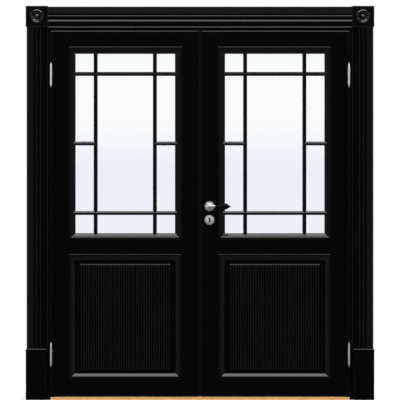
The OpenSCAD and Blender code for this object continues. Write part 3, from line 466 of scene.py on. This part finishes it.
# black steel for the grub screws; on the lock levers it is painted shade inside the keyhole
blackSteelAndKeyholeShade = makeMetal("blackSteelAndKeyholeShade")
ownMaterials = {
    "left_panel": paintReeded,
    "right_panel": paintReeded,
    "left_corner_block": paintTurned,
    "right_corner_block": paintTurned,
    "roses": makePlateMetal("roses"),
    "escutcheons": makePlateMetal("escutcheons"),
}
levelWords = ("rail", "head_")  # painted pieces with these in their names lie level


def dressNodes():
    slots = {p["node"]: p["material_slot"] for p in frame["record"]["subparts"]}
    for name, obj in nodes.items():
        mat = ownMaterials.get(name) or slotMaterials.get(slots[name])
        if mat is None:
            level = any(word in name for word in levelWords)
            mat = paintLevel if level else paintUpright
        obj.data.materials.clear()
        obj.data.materials.append(mat)


dressNodes()
print("materials set")


# small pieces that the CAD model leaves out

sharpAngle = 35  # edges that turn by more degrees than this stay crisp


def finishPiece(bm, name, body, slot, mat=None):
    bmesh.ops.recalc_face_normals(bm, faces=bm.faces)
    mesh = bpy.data.meshes.new(name)
    bm.to_mesh(mesh)
    bm.free()
    mesh.shade_smooth()
    mesh.set_sharp_from_angle(angle=math.radians(sharpAngle))
    mesh.materials.append(mat or slotMaterials[slot])
    piece = bpy.data.objects.new(name, mesh)
    bpy.context.scene.collection.objects.link(piece)
    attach(piece, body)


def moved(bm, verts, matrix):
    bmesh.ops.transform(bm, matrix=matrix, verts=verts)


sealSet = {
    "across": 0.00203,  # half the width, pressed lightly by both leaves
    "deep": 0.0024,  # half the depth
    "at": (0, -0.0475),
    "foot": 0.022,
    "top": 0.0052,  # how far it ends below the top of the leaf
    "segments": 20,
}


# soft bulb seal on the left leaf that closes the gap between the leaves
def makeMeetingSeal():
    s = sealSet
    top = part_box("left_meeting_stile")[1].z - s["top"]
    bm = bmesh.new()
    ring = bmesh.ops.create_circle(bm, cap_ends=True, segments=s["segments"], radius=1.0)["verts"]
    moved(bm, ring, Matrix.Diagonal((s["across"], s["deep"], 1, 1)))
    moved(bm, ring, Matrix.Translation((*s["at"], s["foot"])))
    grown = bmesh.ops.extrude_face_region(bm, geom=bm.faces[:])["geom"]
    raised = [v for v in grown if isinstance(v, bmesh.types.BMVert)]
    bmesh.ops.translate(bm, verts=raised, vec=(0, 0, top - s["foot"]))
    finishPiece(bm, "meetingSeal", "left_leaf", "seal_rubber")


makeMeetingSeal()

leverSet = {
    "size": (0.013, 0.0016, 0.034),
    "layers": (-0.0385, -0.0350, -0.0315),
    "bevel": 0.0004,
    "bevelSegments": 2,
}


# levers of the lock, which the keyhole looks on to; near black, as painted shade inside the keyhole
def makeLockLevers():
    s = leverSet
    middle = middleOf("escutcheons")
    bm = bmesh.new()
    for y in s["layers"]:
        cube = bmesh.ops.create_cube(bm, size=1.0)["verts"]
        moved(bm, cube, Matrix.Translation((middle.x, y, middle.z)) @ Matrix.Diagonal((*s["size"], 1)))
    bmesh.ops.bevel(bm, geom=bm.edges[:], offset=s["bevel"], affect="EDGES", segments=s["bevelSegments"],
                    profile=0.5, material=-1)
    finishPiece(bm, "lockLevers", "right_leaf", "lock_steel", blackSteelAndKeyholeShade)


makeLockLevers()

screwSet = {
    "radius": 0.0034,
    "proud": 0.0005,
    "crown": 0.0002,  # rise of the middle of the head
    "taper": 0.9,  # share of the radius that is left at the top
    "slotWidth": 0.0009,
    "bevel": 0.00012,
    "segments": 28,
    "fromEnd": 0.009,  # from the end of a long plate
    "keepFromEnd": 0.0055,
    "flushPlate": 0.150,  # length of the plate of a flush bolt
    # how each slot is turned, in degrees
    "turns": {
        "forendScrews": (20, 75),
        "strikeScrews": (20, 75),
        "flushPlateScrews": (-40, 10, 65, -5),
        "headKeepScrews": (50, -15),
        "thresholdKeepScrews": (50, -15),
    },
}


def mergeInto(bm, part, matrix):
    moved(part, part.verts[:], matrix)
    mesh = bpy.data.meshes.new("part")
    part.to_mesh(mesh)
    part.free()
    bm.from_mesh(mesh)
    bpy.data.meshes.remove(mesh)


def makeDisc(radius, top, taper=1.0):
    part = bmesh.new()
    bmesh.ops.create_cone(part, cap_ends=True, segments=screwSet["segments"], radius1=radius,
                          radius2=radius * taper, depth=top)
    bmesh.ops.translate(part, verts=part.verts[:], vec=(0, 0, top / 2))
    return part


# slotted head lying on the plane z = 0: a thin disc with two half discs on it
def addScrewHead(bm, place):
    s = screwSet
    mergeInto(bm, makeDisc(s["radius"], s["proud"] / 2), place)
    for side in (-1, 1):
        half = makeDisc(s["radius"], s["proud"] + s["crown"], s["taper"])
        cut = bmesh.ops.bisect_plane(half, geom=half.verts[:] + half.edges[:] + half.faces[:],
                                     plane_co=(side * s["slotWidth"] / 2, 0, 0), plane_no=(-side, 0, 0),
                                     clear_outer=True)["geom_cut"]
        bmesh.ops.edgeloop_fill(half, edges=[e for e in cut if isinstance(e, bmesh.types.BMEdge)])
        bmesh.ops.bevel(half, geom=half.edges[:], offset=s["bevel"], affect="EDGES", segments=1,
                        profile=0.5, material=-1)
        mergeInto(bm, half, place)


# one screw at each of the places, on a plate whose face looks along facing
def makePlateScrews(name, body, places, facing):
    bm = bmesh.new()
    aim = Vector(facing).to_track_quat("Z", "Y").to_matrix().to_4x4()
    for place, turn in zip(places, screwSet["turns"][name]):
        addScrewHead(bm, Matrix.Translation(place) @ aim @ Matrix.Rotation(math.radians(turn), 4, "Z"))
    finishPiece(bm, name, body, "lock_steel")


def makeScrews():
    s = screwSet
    y = middleOf("strike_plate").y
    for name, body, nodeName, side in (("forendScrews", "right_leaf", "lock_case", 0),
                                       ("strikeScrews", "left_leaf", "strike_plate", 1)):
        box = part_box(nodeName)
        heights = (box[0].z + s["fromEnd"], box[1].z - s["fromEnd"])
        makePlateScrews(name, body, [(box[side].x, y, z) for z in heights], (2 * side - 1, 0, 0))
    low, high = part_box("flush_bolt_plates")
    y = middleOf("flush_bolt_plates").y
    heights = (low.z + s["fromEnd"], low.z + s["flushPlate"] - s["fromEnd"],
               high.z - s["flushPlate"] + s["fromEnd"], high.z - s["fromEnd"])
    makePlateScrews("flushPlateScrews", "left_leaf", [(high.x, y, z) for z in heights], (1, 0, 0))
    for name, nodeName, side in (("headKeepScrews", "head_keep", 0),
                                 ("thresholdKeepScrews", "threshold_keep", 1)):
        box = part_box(nodeName)
        y = middleOf(nodeName).y
        places = [(x, y, box[side].z) for x in (box[0].x + s["keepFromEnd"], box[1].x - s["keepFromEnd"])]
        makePlateScrews(name, "frame", places, (0, 0, 2 * side - 1))


makeScrews()

grubSet = {
    "radius": 0.0021,
    "length": 0.003,
    "proud": 0.0002,
    "rim": 0.0009,  # round the socket
    "deep": 0.0012,
    "fromFace": 0.019,  # from the faces of the leaf
    "segments": 24,
    "looksDown": -0.9,  # the normal of an underside is below this
}


# socket screws under the necks of the lever, which hold them on the spindle
def makeGrubScrews():
    s = grubSet
    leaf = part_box("right_meeting_stile")
    x = middleOf("roses").x
    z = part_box("lever_necks")[0].z - s["proud"] + s["length"] / 2
    bm = bmesh.new()
    for y in (leaf[0].y - s["fromFace"], leaf[1].y + s["fromFace"]):
        made = bmesh.ops.create_cone(bm, cap_ends=True, segments=s["segments"], radius1=s["radius"],
                                     radius2=s["radius"], depth=s["length"])["verts"]
        moved(bm, made, Matrix.Translation((x, y, z)))
    bm.normal_update()
    under = [f for f in bm.faces if f.normal.z < s["looksDown"]]
    bmesh.ops.inset_individual(bm, faces=under, thickness=s["rim"], depth=-s["deep"])
    finishPiece(bm, "grubScrews", "lever_set", "lock_steel", blackSteelAndKeyholeShade)


makeGrubScrews()
print("small pieces made")


# light and stage

worldSet = {
    "seen": 1.0,  # white behind the door, for the camera and through the glass
    "ambient": 0.20,  # what the surfaces are lit by
    # what they reflect: a dim room, nearly dark straight out of the front (1) and of the back
    "reflected": ((0.05, 0.30), (0.30, 0.18), (0.955, 0.17), (0.99, 0.015)),
}


def makeWorld():
    s = worldSet
    world = bpy.data.worlds.new("studio")
    world.use_nodes = True
    bpy.context.scene.world = world
    tree = world.node_tree
    rays = node(tree, "ShaderNodeLightPath").outputs
    square = calculate(tree, "ABSOLUTE", coordAxis(tree, "Generated", "Y"))
    reflected = levelRamp(tree, square, s["reflected"])
    unseen = mix(tree, rays["Is Glossy Ray"], s["ambient"], reflected, "FLOAT")
    seen = calculate(tree, "MAXIMUM", rays["Is Camera Ray"], rays["Is Transmission Ray"])
    strength = mix(tree, seen, unseen, s["seen"], "FLOAT")
    fill(tree, tree.nodes["Background"], {"Color": (1, 1, 1), "Strength": strength})


makeWorld()

lampSets = {
    "ceilingLamp": {"at": (0, -0.8, 4.6), "to": (0, -0.2, 0), "size": (4.5, 2.0), "watts": 146},
    "frontLamp": {"at": (0, -4.2, 5.2), "to": (0, 0, 1.3), "size": (3.4, 1.8), "watts": 100},
    "leftLamp": {"at": (-4.6, -1.8, 3.6), "to": (0, 0, 1.2), "size": (1.0, 2.0), "watts": 34},
    "rightLamp": {"at": (4.6, -1.8, 3.6), "to": (0, 0, 1.2), "size": (1.0, 2.0), "watts": 34},
    "rearLamp": {"at": (0, 4.5, 3.6), "to": (0, 0, 1.0), "size": (3.0, 1.5), "watts": 60},
}


def makeLamp(name):
    s = lampSets[name]
    data = bpy.data.lights.new(name, "AREA")
    data.shape = "RECTANGLE"
    data.size, data.size_y = s["size"]
    data.energy = s["watts"]
    lamp = bpy.data.objects.new(name, data)
    lamp.location = s["at"]
    aim = Vector(s["to"]) - Vector(s["at"])
    lamp.rotation_euler = aim.to_track_quat("-Z", "Y").to_euler()
    bpy.context.scene.collection.objects.link(lamp)


for lampName in lampSets:
    makeLamp(lampName)

floorSet = {
    "reach": 2.6,
    "segments": 96,
    "colour": (0.86, 0.86, 0.86),
    "rough": 0.9,
    "specular": 0.1,
    "lift": 0.40,  # a glow that only the camera sees
}


def makeFloor():
    s = floorSet
    bm = bmesh.new()
    bmesh.ops.create_circle(bm, cap_ends=True, segments=s["segments"], radius=s["reach"])
    mesh = bpy.data.meshes.new("studioFloor")
    bm.to_mesh(mesh)
    bm.free()
    floor = bpy.data.objects.new("studioFloor", mesh)
    floor.visible_glossy = False
    bpy.context.scene.collection.objects.link(floor)
    mat, tree = newMaterial("studioFloor")
    path = node(tree, "ShaderNodeLightPath")
    setShader(mat, {
        "Base Color": s["colour"],
        "Roughness": s["rough"],
        "Specular IOR Level": s["specular"],
        "Emission Color": (1, 1, 1),
        "Emission Strength": remap(tree, path.outputs["Is Camera Ray"], 0.0, s["lift"]),
    })
    mesh.materials.append(mat)


makeFloor()
bpy.context.scene.view_settings.view_transform = "Standard"
print("light and floor set")
